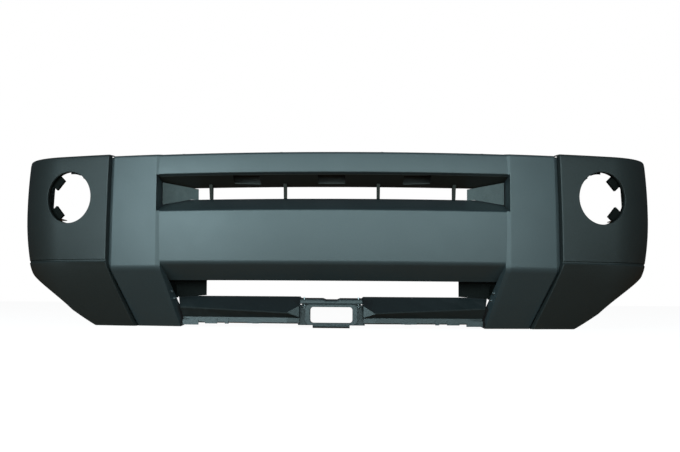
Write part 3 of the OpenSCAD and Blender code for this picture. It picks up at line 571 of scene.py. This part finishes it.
# Section of the rolled edge round the lamp opening: outwards from its bore, and behind the face
ROLL = [
    (2.2, 0.25), (1.6, -0.1), (1.0, -0.02), (0.5, 0.3), (0.15, 0.9),
    (0.0, 1.8), (0.0, 7.0), (1.5, 7.0), (2.2, 6.5),
]
ROLL_R = FOG_R - 0.3


def fog_rim(n=96):
    """A rolled edge round the lamp opening that follows the cap's face."""
    m = len(ROLL)
    verts, faces = [], []
    for i in range(n):
        a = 2 * math.pi * i / n
        c, s = math.cos(a), math.sin(a)
        d = face_depth(FOG_R * c, FOG_R * s)
        verts += [fog_place((ROLL_R + r) * c, (ROLL_R + r) * s, -d - w) for r, w in ROLL]
    for j in range(n):
        k = (j + 1) % n
        faces += [(j * m + i, j * m + (i + 1) % m, k * m + (i + 1) % m, k * m + i) for i in range(m)]
    return verts, faces


def corner_caps():
    lamp_tool = make_mesh("lamp_tool", *disc_solid(fog_place, FOG_R, -2 * THROUGH, 2 * THROUGH))
    shell_right = taken(cut(make_mesh("cap_right", *cap_shell()), lamp_tool))
    solid = joined(shell_right, fog_rim())
    out = []
    for side, solid in (("right", solid), ("left", mirrored(*solid))):
        obj = make_mesh("corner_cap_%s_shell" % side, *solid)
        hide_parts("corner_cap_" + side)
        out.append(obj)
    return out


# ---------------------------------------------------------------- materials
def new_material(name):
    mat = bpy.data.materials.new(name)
    mat.use_nodes = True
    mat.node_tree.nodes.clear()
    return mat, mat.node_tree.nodes.new, mat.node_tree.links.new


def plastic(name, base, rough, grain, depth, mottle, spec, dust):
    """Moulded plastic: colour drift, fine grain, uneven gloss, pale rubbed edges and a little dust."""
    mat, new, link = new_material(name)
    out = new("ShaderNodeOutputMaterial")
    bsdf = new("ShaderNodeBsdfPrincipled")
    link(bsdf.outputs[0], out.inputs[0])
    bsdf.inputs["Specular IOR Level"].default_value = spec
    coords = new("ShaderNodeTexCoord")

    def noise(scale, detail):
        n = new("ShaderNodeTexNoise")
        n.inputs["Scale"].default_value = scale
        n.inputs["Detail"].default_value = detail
        n.inputs["Roughness"].default_value = 0.55
        link(coords.outputs["Object"], n.inputs["Vector"])
        return n.outputs["Fac"]

    def ramp(fac, low, high):
        r = new("ShaderNodeValToRGB")
        for element, (position, colour) in zip(r.color_ramp.elements, (low, high)):
            element.position, element.color = position, (*colour, 1)
        link(fac, r.inputs["Fac"])
        return r.outputs["Color"]

    def grey(value):
        return (value, value, value)

    def product(a, b):
        m = new("ShaderNodeMath")
        m.operation = "MULTIPLY"
        link(a, m.inputs[0])
        link(b, m.inputs[1])
        return m.outputs[0]

    def blend(mask, under, colour):
        m = new("ShaderNodeMix")
        m.data_type = "RGBA"
        m.inputs["B"].default_value = (*colour, 1)
        link(mask, m.inputs["Factor"])
        link(under, m.inputs["A"])
        return m.outputs["Result"]

    def spread(value, **ends):
        r = new("ShaderNodeMapRange")
        for end, number in ends.items():
            r.inputs[end.replace("_", " ").title()].default_value = number
        link(value, r.inputs["Value"])
        return r.outputs[0]

    def bump(height, strength, distance, below=None):
        n = new("ShaderNodeBump")
        n.inputs["Strength"].default_value = strength
        n.inputs["Distance"].default_value = distance
        link(height, n.inputs["Height"])
        if below:
            link(below, n.inputs["Normal"])
        return n.outputs[0]

    # colour drift and specks
    low, high = ([c * (1 + way * mottle) for c in base] for way in (-1, 1))
    speckled = new("ShaderNodeMix")
    speckled.data_type = "RGBA"
    speckled.blend_type = "MULTIPLY"
    speckled.inputs["Factor"].default_value = 0.8
    link(ramp(noise(5.0, 4), (0.32, low), (0.68, high)), speckled.inputs["A"])
    link(ramp(noise(grain * 0.45, 2), (0.38, grey(0.86)), (0.66, grey(1.10))), speckled.inputs["B"])

    # rubbed edges
    geo = new("ShaderNodeNewGeometry")
    edge = ramp(geo.outputs["Pointiness"], (0.515, grey(0)), (0.56, grey(1)))
    rub = ramp(noise(60.0, 5), (0.45, grey(0)), (0.75, grey(0.35)))
    colour = blend(product(edge, rub), speckled.outputs["Result"], [min(1, c * 1.7 + 0.02) for c in base])

    # dust settles on faces that look up
    if dust:
        sep = new("ShaderNodeSeparateXYZ")
        link(geo.outputs["Normal"], sep.inputs[0])
        upward = spread(sep.outputs["Z"], from_min=0.35, from_max=1.0, to_max=dust)
        colour = blend(product(upward, noise(14.0, 6)), colour, (0.30, 0.29, 0.27))
    link(colour, bsdf.inputs["Base Color"])

    # uneven gloss, grain, and a slow wave in the moulding
    gloss = spread(noise(22.0, 5), from_min=0.3, from_max=0.7, to_min=rough - 0.015, to_max=rough + 0.015)
    link(gloss, bsdf.inputs["Roughness"])
    fine = new("ShaderNodeTexVoronoi")
    fine.inputs["Scale"].default_value = grain
    link(coords.outputs["Object"], fine.inputs["Vector"])
    grained = bump(fine.outputs["Distance"], depth, 0.0004)
    link(bump(noise(9.0, 2), 0.06, 0.004, grained), bsdf.inputs["Normal"])
    return mat


def metal(name, base, rough):
    """Bright steel: cloudy tone and gloss, and small pits."""
    mat = bpy.data.materials.new(name)
    mat.use_nodes = True
    nt = mat.node_tree
    bsdf = nt.nodes["Principled BSDF"]
    bsdf.inputs["Metallic"].default_value = 1.0
    coords = nt.nodes.new("ShaderNodeTexCoord")
    cloud = nt.nodes.new("ShaderNodeTexNoise")
    cloud.inputs["Scale"].default_value = 70.0
    cloud.inputs["Detail"].default_value = 6.0
    nt.links.new(coords.outputs["Object"], cloud.inputs["Vector"])
    r = nt.nodes.new("ShaderNodeValToRGB")
    r.color_ramp.elements[0].position = 0.35
    r.color_ramp.elements[0].color = (*[c * 0.78 for c in base], 1)
    r.color_ramp.elements[1].position = 0.7
    r.color_ramp.elements[1].color = (*[min(1, c * 1.1) for c in base], 1)
    nt.links.new(cloud.outputs["Fac"], r.inputs["Fac"])
    nt.links.new(r.outputs["Color"], bsdf.inputs["Base Color"])
    gr = nt.nodes.new("ShaderNodeMapRange")
    gr.inputs["To Min"].default_value = rough - 0.08
    gr.inputs["To Max"].default_value = rough + 0.12
    nt.links.new(cloud.outputs["Fac"], gr.inputs["Value"])
    nt.links.new(gr.outputs[0], bsdf.inputs["Roughness"])
    pits = nt.nodes.new("ShaderNodeTexNoise")
    pits.inputs["Scale"].default_value = 1400.0
    nt.links.new(coords.outputs["Object"], pits.inputs["Vector"])
    bump = nt.nodes.new("ShaderNodeBump")
    bump.inputs["Strength"].default_value = 0.15
    bump.inputs["Distance"].default_value = 0.0003
    nt.links.new(pits.outputs["Fac"], bump.inputs["Height"])
    nt.links.new(bump.outputs[0], bsdf.inputs["Normal"])
    return mat


# Name, colour, roughness, grain scale, grain depth, colour drift, specular level and dust of each slot
PLASTICS = {
    "skin": ("satin_primer", (0.048, 0.064, 0.070), 0.42, 1500, 0.04, 0.05, 0.95, 0.05),
    "cap": ("grained_charcoal", (0.024, 0.029, 0.029), 0.50, 700, 0.22, 0.07, 0.78, 0.03),
    "black": ("coarse_black", (0.006, 0.007, 0.006), 0.62, 420, 0.5, 0.2, 0.10, 0.03),
    "insert": ("dark_insert", (0.030, 0.028, 0.022), 0.60, 700, 0.25, 0.12, 0.55, 0.03),
    "baffle": ("grey_baffle", (0.068, 0.080, 0.078), 0.5, 800, 0.2, 0.12, 0.5, 0.05),
    "valance": ("valance_grey", (0.018, 0.026, 0.028), 0.40, 1000, 0.10, 0.08, 0.85, 0.02),
    "nylon": ("black_nylon", (0.016, 0.018, 0.018), 0.38, 1200, 0.1, 0.1, 0.5, 0.0),
}
SLOT_MATERIAL = {slot: plastic(*values) for slot, values in PLASTICS.items()}
SLOT_MATERIAL["steel"] = metal("zinc_steel", (0.58, 0.60, 0.61), 0.34)
SPRING = metal("spring_steel", (0.40, 0.41, 0.42), 0.4)


def finish_node(obj, mat, bevel):
    """A carried-over CAD node: its finish, and small rounds on its sharp edges."""
    obj.data.materials.clear()
    obj.data.materials.append(mat)
    weld = obj.modifiers.new("weld", "WELD")
    weld.merge_threshold = WELD_DISTANCE * MM
    b = obj.modifiers.new("bevel", "BEVEL")
    b.width = bevel * MM
    b.segments = 3
    b.limit_method = "ANGLE"
    b.angle_limit = math.radians(32)
    b.harden_normals = False
    n = obj.modifiers.new("normals", "WEIGHTED_NORMAL")
    n.keep_sharp = True


# Width of the edge rounds by the start of a node's name, in millimetres
BEVELS = {
    "lower_valance": 0.9, "tow_eye_surround": 0.8, "fog_lamp_bracket": 0.7, "upper_slot_insert": 0.5,
    "air_baffle": 0.5, "lower_cheek": 0.5, "upper_mounting_strip": 0.5,
    "side_bracket_left": 0.5, "side_bracket_right": 0.5,
}
SMALL_BEVEL = 0.25
for part in frame["record"]["subparts"]:
    name = part["node"]
    if name == "centre_skin" or name.startswith("corner_cap"):
        continue
    mat = SPRING if "clips" in name else SLOT_MATERIAL[part["material_slot"]]
    widths = [width for start, width in BEVELS.items() if name.startswith(start)]
    finish_node(frame["nodes"][name], mat, widths[0] if widths else SMALL_BEVEL)

for shell, slot in [(centre_skin(), "skin")] + [(cap, "cap") for cap in corner_caps()]:
    shell.data.materials.append(SLOT_MATERIAL[slot])
    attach(shell, ROOT)


# ---------------------------------------------------------------- floor, light, camera
def stage_material(name, shown, bounce):
    """Pale to the eye, and a dimmer, warmer bounce on the object."""
    mat, new, link = new_material(name)
    out = new("ShaderNodeOutputMaterial")
    path = new("ShaderNodeLightPath")
    seen = new("ShaderNodeEmission")
    seen.inputs["Color"].default_value = (*shown, 1)
    diffuse = new("ShaderNodeBsdfDiffuse")
    diffuse.inputs["Color"].default_value = (*bounce, 1)
    pale = new("ShaderNodeBsdfDiffuse")
    pale.inputs["Color"].default_value = (0.3, 0.3, 0.3, 1)
    both = new("ShaderNodeAddShader")
    link(seen.outputs[0], both.inputs[0])
    link(pale.outputs[0], both.inputs[1])
    mix = new("ShaderNodeMixShader")
    link(path.outputs["Is Camera Ray"], mix.inputs[0])
    link(diffuse.outputs[0], mix.inputs[1])
    link(both.outputs[0], mix.inputs[2])
    link(mix.outputs[0], out.inputs[0])
    return mat


def studio_world(shown, soft, strength):
    """A white room to the eye, and a faint even light on the object."""
    world = bpy.data.worlds.new("studio")
    bpy.context.scene.world = world
    world.use_nodes = True
    nodes, link = world.node_tree.nodes, world.node_tree.links.new
    nodes.clear()
    out = nodes.new("ShaderNodeOutputWorld")
    path = nodes.new("ShaderNodeLightPath")
    mix = nodes.new("ShaderNodeMixShader")
    link(path.outputs["Is Camera Ray"], mix.inputs[0])
    for socket, colour, power in ((1, soft, strength), (2, shown, 1.0)):
        background = nodes.new("ShaderNodeBackground")
        background.inputs["Color"].default_value = (*colour, 1)
        background.inputs["Strength"].default_value = power
        link(background.outputs[0], mix.inputs[socket])
    link(mix.outputs[0], out.inputs[0])


FLOOR_HALF = 30.0
FLOOR_Z = -0.0005
floor_mesh = bpy.data.meshes.new("floor")
corners = [(x * FLOOR_HALF, y * FLOOR_HALF, FLOOR_Z) for x, y in ((-1, -1), (1, -1), (1, 1), (-1, 1))]
floor_mesh.from_pydata(corners, [], [(0, 1, 2, 3)])
floor = bpy.data.objects.new("floor", floor_mesh)
bpy.context.scene.collection.objects.link(floor)
floor_mesh.materials.append(stage_material("pale_floor", (0.95, 0.95, 0.95), (0.42, 0.16, 0.04)))
studio_world((1, 1, 1), (0.80, 0.90, 1.0), 0.05)


def area_light(name, place, target, size, power, colour):
    data = bpy.data.lights.new(name, "AREA")
    data.shape = "RECTANGLE"
    data.size, data.size_y = size
    data.energy = power
    data.color = colour
    obj = bpy.data.objects.new(name, data)
    bpy.context.scene.collection.objects.link(obj)
    obj.location = place
    obj.rotation_euler = (Vector(target) - Vector(place)).to_track_quat("-Z", "Y").to_euler()
    return obj


area_light("key", (-3.4, -4.1, 0.9), (-0.3, 0, 0.28), (2.6, 1.6), 66, (0.66, 0.93, 1.0))
area_light("wall", (0.2, -4.6, 0.9), (0, 0, 0.3), (9.0, 1.8), 180, (0.67, 0.95, 1.0))
area_light("top", (0, -0.2, 3.2), (0, -0.1, 0.4), (3.0, 1.0), 3, (0.9, 0.96, 1.0))

# The camera stands low and a little right of the middle, and looks up at the cover
SENSOR = 36.0
IMAGE_WIDTH = 680.0
FOCAL = 1050.0  # on the scale of the image width
SHIFT = 0.0802
CAMERA_X, CAMERA_DISTANCE, CAMERA_Z = 0.0394, 2.872, 0.0765
YAW, PITCH, ROLL = math.radians(-3.28), math.radians(4.08), math.radians(0.42)

cam_data = bpy.data.cameras.new("camera")
cam_data.sensor_width = SENSOR
cam_data.lens = FOCAL * SENSOR / IMAGE_WIDTH
cam_data.shift_x = SHIFT
cam_data.clip_start = 0.05
cam_data.clip_end = 200.0
cam = bpy.data.objects.new("camera", cam_data)
bpy.context.scene.collection.objects.link(cam)
vertical = Vector((0, 0, 1))
flat = Vector((math.sin(YAW), math.cos(YAW), 0))
side = Vector((math.cos(YAW), -math.sin(YAW), 0))
forward = flat * math.cos(PITCH) + vertical * math.sin(PITCH)
lift = vertical * math.cos(PITCH) - flat * math.sin(PITCH)
right = side * math.cos(ROLL) + lift * math.sin(ROLL)
up = -side * math.sin(ROLL) + lift * math.cos(ROLL)
cam.matrix_world = Matrix((
    (right.x, up.x, -forward.x, CAMERA_X),
    (right.y, up.y, -forward.y, -CAMERA_DISTANCE - MID * MM),
    (right.z, up.z, -forward.z, CAMERA_Z),
    (0, 0, 0, 1),
))
bpy.context.scene.camera = cam
bpy.context.scene.view_settings.view_transform = "Standard"
bpy.context.scene.view_settings.look = "None"
